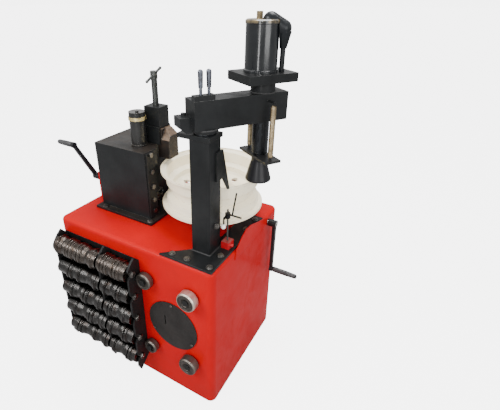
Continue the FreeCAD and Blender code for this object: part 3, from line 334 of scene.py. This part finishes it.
def gauge_finish(name):
    """Blued rods with a white ball knob at the low end."""
    k = Kit(name)
    low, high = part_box("gauge_arm")
    ball = k.span(k.axis("Z"), low[2] + BALL_TALL + STEP, low[2] + BALL_TALL - STEP)
    steel = k.mix(k.span(k.noise(90, 6), 0.4, 0.7), (0.03, 0.03, 0.032), (0.012, 0.012, 0.012))
    tone = k.mix(ball, steel, (0.9, 0.89, 0.85))
    metal = k.math("SUBTRACT", 1.0, ball)
    gloss = k.span(k.noise(60, 5), 0.3, 0.7, 0.2, 0.45)
    return k.finish(tone, gloss, metal, 0.0, k.noise(300, 3), 0.0002, 0.0006)


def cylinder_finish(name):
    """Gloss black enamel with oil runs and a patchy brassy crown, part brass ring and part painted highlight.
    """
    k = Kit(name)
    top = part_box("press_plate")[1][2] + BARREL_TALL
    tone = k.mix(k.span(k.noise(9, 6), 0.35, 0.7), (0.004, 0.005, 0.006), (0.009, 0.01, 0.011))
    runs = k.span(k.noise(26, 8, 0.7, 0.8, (1, 1, 0.12)), 0.58, 0.76)
    tone = k.mix(k.math("MULTIPLY", runs, 0.3), tone, (0.04, 0.038, 0.03))
    # brassy crown band at the top: part brass ring, part painted highlight on the cylinder's top rim
    crown = k.span(k.axis("Z"), top - CROWN_TALL - 0.005, top - CROWN_TALL)
    crown = k.math("MULTIPLY", crown, k.span(k.noise(34, 6), 0.38, 0.6))
    tone = k.mix(k.math("MULTIPLY", crown, 0.85), tone, (0.34, 0.26, 0.14))
    gloss = k.span(k.noise(12, 6, 0.6, 0.8), 0.3, 0.7, 0.12, 0.24)
    return k.finish(tone, gloss, k.math("MULTIPLY", crown, 0.7), 0.4, k.noise(120, 3), 0.0002, 0.0012, 0.5)


def stand_finish(name):
    """Red magnet block carrying a thin dark post."""
    k = Kit(name)
    low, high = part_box("gauge_stand")
    block = k.span(k.axis("Z"), low[2] + BLOCK_TALL + STEP, low[2] + BLOCK_TALL - STEP)
    red = k.mix(k.span(k.noise(60, 6), 0.4, 0.7), (0.42, 0.004, 0.01), (0.26, 0.004, 0.008))
    dark = k.mix(k.noise(90, 6), (0.02, 0.02, 0.02), (0.05, 0.045, 0.04))
    tone = k.mix(block, dark, red)
    tone = k.mix(k.math("MULTIPLY", k.edge(0.001), 0.6), tone, (0.2, 0.18, 0.16))
    gloss = k.span(k.noise(40, 5), 0.3, 0.7, 0.26, 0.5)
    return k.finish(tone, gloss, 0.0, 0.1, k.noise(260, 3), 0.0003, 0.001, 0.3)


def pot_finish(name):
    """Glossy black pot, oily brown on its lid."""
    k = Kit(name)
    tone = k.mix(k.span(k.noise(9, 6), 0.35, 0.7), (0.006, 0.0065, 0.0065), (0.012, 0.011, 0.01))
    top = k.math("MULTIPLY", k.span(k.facing("Z"), 0.6, 0.95), k.span(k.noise(28, 8, 0.7), 0.35, 0.65))
    tone = k.mix(k.math("MULTIPLY", top, 0.6), tone, (0.05, 0.03, 0.02))
    tone = k.mix(k.edge(0.0014), tone, (0.12, 0.10, 0.08))
    gloss = k.span(k.noise(14, 6, 0.7), 0.3, 0.7, 0.18, 0.45)
    return k.finish(tone, gloss, 0.1, 0.3, k.noise(160, 4), 0.0005, 0.0014)


RED = enamel("red_enamel", (0.42, 0.0015, 0.0035), (0.35, 0.001, 0.0025), (0.13, 0.012, 0.011), coat=0.02,
             dust=(0.14, 0.03, 0.02))
MATERIALS = {
    "cabinet_shell": RED,
    "side_lip": RED,
    "back_panel": RED,
    "crank_bracket": RED,
    "gauge_stand": stand_finish("gauge_base"),
    "wheel_rim": cream_paint("rim_primer"),
    "gauge_arm": gauge_finish("gauge_rods"),
    "feed_pot": pot_finish("pot_black"),
    "pot_ring": plated("ring_brass", (0.9, 0.74, 0.36), (0.62, 0.48, 0.22), 0.35),
    "tool_bar": rusty_steel("bar_brown", (0.010, 0.010, 0.011), (0.11, 0.065, 0.035), 0.9),
    "forming_post": black_paint("post_black", rust=0.35),
    "roller_pegs": black_paint("peg_black", (0.004, 0.004, 0.004), 0.6, 0.0, 0.2),
    "power_gland": moulded("gland_black", (0.02, 0.02, 0.02)),
}


def share(material, *names):
    for name in names:
        MATERIALS[name] = material


share(black_paint("frame_black"), "clamp_block", "column", "column_foot", "arm_beam",
      "press_plate", "rim_steady")
share(black_paint("rack_black", (0.004, 0.004, 0.004), 0.5, 0.0, 0.5), "rack_ribs", "gib_strip", "base_frame")
share(black_paint("housing_black", (0.008, 0.008, 0.008)), "spindle_housing", "crosshead")
share(black_paint("cover_black", (0.009, 0.0075, 0.007), 0.6, 0.0, 0.4, 0.0, 0.2), "round_cover")
MATERIALS["press_cylinder"] = cylinder_finish("cylinder_black")
share(black_paint("elbow_black", (0.004, 0.005, 0.006), 0.3, 0.1, 0.3), "oil_line")
share(black_paint("shoe_black", (0.006, 0.006, 0.007), 0.34, 0.1), "press_shoe", "left_crank_arm",
      "right_crank_arm")
share(turned_steel("roller_oiled", (0.06, 0.058, 0.056), (0.007, 0.007, 0.007), 0.2,
                   tint=(0.028, 0.016, 0.011)),
      "rack_rollers_2", "rack_rollers_3", "rack_rollers_4", "rack_rollers_5")
share(turned_steel("roller_brown", (0.10, 0.085, 0.075), (0.016, 0.013, 0.011), 0.22,
                   tint=(0.05, 0.03, 0.018)),
      "rack_rollers_1")
share(turned_steel("shaft_steel", (0.16, 0.15, 0.14), (0.05, 0.045, 0.04), 0.34), "rack_shafts", "fasteners")
share(turned_steel("ram_steel", (0.045, 0.048, 0.052), (0.012, 0.012, 0.013), 0.2, "Z"),
      "press_ram", "pivot_post", "forming_roller", "worm_wheel")
share(turned_steel("bright_turned", (0.52, 0.50, 0.47), (0.25, 0.22, 0.19), 0.26, "Z"),
      "spindle", "centring_cone", "clamp_nut", "clamp_plunger")
share(turned_steel("tee_dark", (0.10, 0.105, 0.10), (0.03, 0.032, 0.03), 0.34, "Z"), "tee_screw")
share(turned_steel("crank_shaft_steel", (0.46, 0.44, 0.41), (0.2, 0.18, 0.15), 0.28),
      "worm_shaft", "lead_screw")
share(rusty_steel("ram_bar_steel", (0.05, 0.048, 0.045), (0.08, 0.05, 0.03), 0.4, 0.4), "forming_ram")
share(moulded("grip_black", (0.016, 0.016, 0.017), 0.45), "left_crank_grip", "right_crank_grip")
share(plated("lever_steel", (0.13, 0.14, 0.165), (0.06, 0.06, 0.065), 0.35), "valve_lever_1", "valve_lever_2")
share(enamel("machine_grey", (0.20, 0.23, 0.25), (0.13, 0.15, 0.17), (0.4, 0.4, 0.4), 0.4, 0.2), "oil_tank",
      "pump_motor")
share(plated("spring_yellow", (0.34, 0.27, 0.17), (0.16, 0.12, 0.07), 0.34), "return_springs")
# per-roller strength of the bright rim, part polish and part painted highlight, strongest on roller 2
for number, bright in enumerate((0.12, 0.8, 0.1, 0.15), start=1):
    roller = "spare_roller_%d" % number
    MATERIALS[roller] = spare_roller_steel("spare_steel_%d" % number, roller, bright)
for name, node in NODES.items():
    node.data.materials.clear()
    node.data.materials.append(MATERIALS[name])


# ---------------------------------------------------------------- mesh kit
def new_piece(name, mesh, material, body):
    piece = bpy.data.objects.new(name, mesh)
    bpy.context.scene.collection.objects.link(piece)
    mesh.materials.append(material)
    if body:
        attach(piece, body)
    return piece


def tube(points, radius, sides=10, closed=False):
    """Mesh tube that follows a list of points, with flat ends."""
    mesh = bmesh.new()
    loops = []
    up = Vector((0.13, 0.31, 0.94)).normalized()
    count = len(points)
    for n, point in enumerate(points):
        ahead = points[(n + 1) % count] if closed or n < count - 1 else point
        behind = points[n - 1] if closed or n > 0 else point
        along = (ahead - behind).normalized()
        across = along.cross(up)
        if across.length < 1e-4:
            across = along.cross(Vector((1, 0, 0)))
        across.normalize()
        up = across.cross(along).normalized()
        size = radius[n] if isinstance(radius, (list, tuple)) else radius
        loops.append([mesh.verts.new(point + size * (math.cos(a) * across + math.sin(a) * up))
                      for a in (math.tau * k / sides for k in range(sides))])
    spans = count if closed else count - 1
    for n in range(spans):
        here, there = loops[n], loops[(n + 1) % count]
        for k in range(sides):
            mesh.faces.new((here[k], here[(k + 1) % sides], there[(k + 1) % sides], there[k]))
    if not closed:
        mesh.faces.new(list(reversed(loops[0])))
        mesh.faces.new(loops[-1])
    bmesh.ops.recalc_face_normals(mesh, faces=mesh.faces)
    data = bpy.data.meshes.new("tube")
    mesh.to_mesh(data)
    mesh.free()
    data.shade_smooth()
    return data


def middle(node):
    low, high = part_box(node)
    return (Vector(low) + Vector(high)) / 2


# ---------------------------------------------------------------- return springs
spring_low, spring_high = (Vector(corner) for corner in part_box("return_springs"))
ram_axis = middle("press_ram")
column_axis = middle("pivot_post")
along_arm = ram_axis - column_axis
along_arm.z = 0
along_arm.normalize()
across_arm = Vector((-along_arm.y, along_arm.x, 0))


def spring(name, side):
    """Close-wound tension spring with a hook at its low end."""
    centre = Vector((ram_axis.x, ram_axis.y, 0)) + side * SPRING_OFFSET * across_arm
    low = spring_low.z + 0.004
    high = spring_high.z - 0.006
    points = []
    for n in range(14):
        turn = math.pi * n / 13
        points.append(centre + Vector((0, 0, low - 0.0035)) + 0.0055 * (math.cos(turn) * along_arm)
                      - Vector((0, 0, 0.0038 * math.sin(turn))))
    steps = SPRING_TURNS * 20
    for n in range(steps + 1):
        turn = math.pi + math.tau * SPRING_TURNS * n / steps
        ease = SPRING_RADIUS * min(1.0, 0.6 + 0.4 * n / 14, 0.6 + 0.4 * (steps - n) / 14)
        points.append(centre + ease * (math.cos(turn) * along_arm + math.sin(turn) * across_arm)
                      + Vector((0, 0, low + (high - low) * n / steps)))
    piece = new_piece(name, tube(points, SPRING_WIRE, 8), MATERIALS["return_springs"], None)
    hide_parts("return_springs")
    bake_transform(piece)


spring("spring_left", 1)
spring("spring_right", -1)

# ---------------------------------------------------------------- weld beads
WELD = black_paint("weld_black", (0.02, 0.02, 0.02), 0.4, 0.1, 0.8)


def bead(name, points, body, size=0.003, closed=True):
    """Rippled fillet weld along a line."""
    line = []
    count = len(points)
    spans = count if closed else count - 1
    for n in range(spans):
        here, there = Vector(points[n]), Vector(points[(n + 1) % count])
        steps = max(2, int((there - here).length / 0.0022))
        line += [here.lerp(there, k / steps) for k in range(steps)]
    sizes = [size * (0.86 + 0.14 * math.sin(n * 2.1)) for n in range(len(line))]
    return new_piece(name, tube(line, sizes, 8, closed), WELD, body)


def circle(centre, radius, z, count=60):
    turns = (math.tau * n / count for n in range(count))
    return [(centre.x + radius * math.cos(turn), centre.y + radius * math.sin(turn), z) for turn in turns]


foot_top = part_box("column_foot")[1][2]
bead("weld_column", [(column_axis.x + x * COLUMN_HALF, column_axis.y + y * COLUMN_HALF, foot_top)
                     for x, y in SQUARE], "cabinet", 0.0032)
bead("weld_neck", circle(ram_axis, 0.0372, BEAM_TOP + 0.0005), "arm", 0.0028)
bead("weld_hub", circle(column_axis, 0.0402, BEAM_LOW - 0.0003), "arm", 0.0026)

# ---------------------------------------------------------------- stage, light, camera
floor_kit = Kit("studio_floor")
floor_tone = floor_kit.mix(floor_kit.noise(1.5, 4), (0.40, 0.40, 0.40), (0.37, 0.37, 0.37))
floor_paper = floor_kit.finish(floor_tone, 0.8, soft=0.0, level=0.1)
glow = floor_kit.math("MULTIPLY", floor_kit.add("ShaderNodeLightPath").outputs["Is Camera Ray"], 5.0)
floor_kit.put(floor_kit.bsdf.inputs["Emission Strength"], glow)
floor_kit.put(floor_kit.bsdf.inputs["Emission Color"], (1.0, 1.0, 1.0, 1.0))
floor_mesh = bpy.data.meshes.new("floor")
floor_mesh.from_pydata([(x * FLOOR_REACH, y * FLOOR_REACH, 0) for x, y in SQUARE], [], [(0, 1, 2, 3)])
floor_mesh.materials.append(floor_paper)
floor = bpy.data.objects.new("floor", floor_mesh)
bpy.context.scene.collection.objects.link(floor)

world = bpy.data.worlds.new("studio")
bpy.context.scene.world = world
world.use_nodes = True
sky = world.node_tree
background = sky.nodes["Background"]
background.inputs["Color"].default_value = (1.0, 1.0, 1.0, 1.0)
seen = sky.nodes.new("ShaderNodeLightPath").outputs["Is Camera Ray"]
strength = sky.nodes.new("ShaderNodeMapRange")     # soft on the machine, bright behind it
sky.links.new(seen, strength.inputs["Value"])
strength.inputs["To Min"].default_value = 1.1
strength.inputs["To Max"].default_value = 5.3
sky.links.new(strength.outputs["Result"], background.inputs["Strength"])


def lamp(name, place, target, size, power):
    light = bpy.data.lights.new(name, "AREA")
    light.shape = "RECTANGLE"
    light.size, light.size_y = size
    light.energy = power
    holder = bpy.data.objects.new(name, light)
    holder.location = place
    holder.rotation_euler = (Vector(target) - Vector(place)).to_track_quat("-Z", "Y").to_euler()
    bpy.context.scene.collection.objects.link(holder)


lamp("key", (-1.2, -2.4, 2.9), (0.0, 0.0, 0.6), (1.8, 1.2), 110)
lamp("fill", (2.6, -1.2, 1.6), (0.1, 0.0, 0.6), (1.6, 1.6), 42)
lamp("top", (0.4, 0.6, 3.2), (0.1, 0.0, 0.9), (1.6, 1.2), 80)
lamp("strip", (0.57, -1.99, 1.3), (0.35, 0.0, 1.25), (0.2, 1.5), 12)
lamp("flash", (0.80, -1.16, 1.52), (0.0, 0.0, 0.6), (0.10, 0.06), 7)

view = bpy.data.cameras.new("camera")
view.lens = 27.33
view.sensor_width = 36
view.shift_x = 0.07
view.shift_y = -0.03
camera = bpy.data.objects.new("camera", view)
camera.location = (0.8261, -1.0448, 1.3869)
look = Vector((-0.4545, 0.7648, -0.4566))
camera.rotation_euler = look.to_track_quat("-Z", "Y").to_euler()
bpy.context.scene.collection.objects.link(camera)
bpy.context.scene.camera = camera
